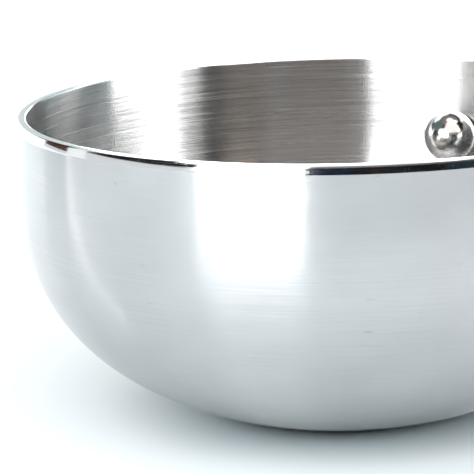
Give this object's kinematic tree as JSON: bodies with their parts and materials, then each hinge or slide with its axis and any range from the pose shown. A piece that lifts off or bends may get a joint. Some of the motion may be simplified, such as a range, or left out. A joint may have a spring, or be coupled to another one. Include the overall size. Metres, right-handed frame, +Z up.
{
  "type": "shaving bowl",
  "caption": "Round steel lathering bowl with a small flat foot, a brushed inside and a ball thumb grip screwed through its wall below the rim.",
  "frame": {"origin": "middle of the flat foot, on the surface the bowl stands on", "axes": "+Z up out of the bowl's mouth; +Y from the bowl's axis towards the thumb grip; the part is symmetric about the plane X = 0"},
  "size_m": [0.108, 0.1106, 0.051],
  "materials": {
    "bowl_steel": "mirror polished outside and on the rim, turned and brushed inside",
    "polished_steel": "mirror polished",
    "seal_rubber": "matt"
  },
  "bodies": {
    "root": {"bowl": "bowl_steel", "grip_ball": "polished_steel", "grip_collar": "polished_steel", "inner_gasket": "seal_rubber", "outer_gasket": "seal_rubber", "outer_washer": "polished_steel", "grip_screw": "polished_steel"}
  },
  "joints": []
}
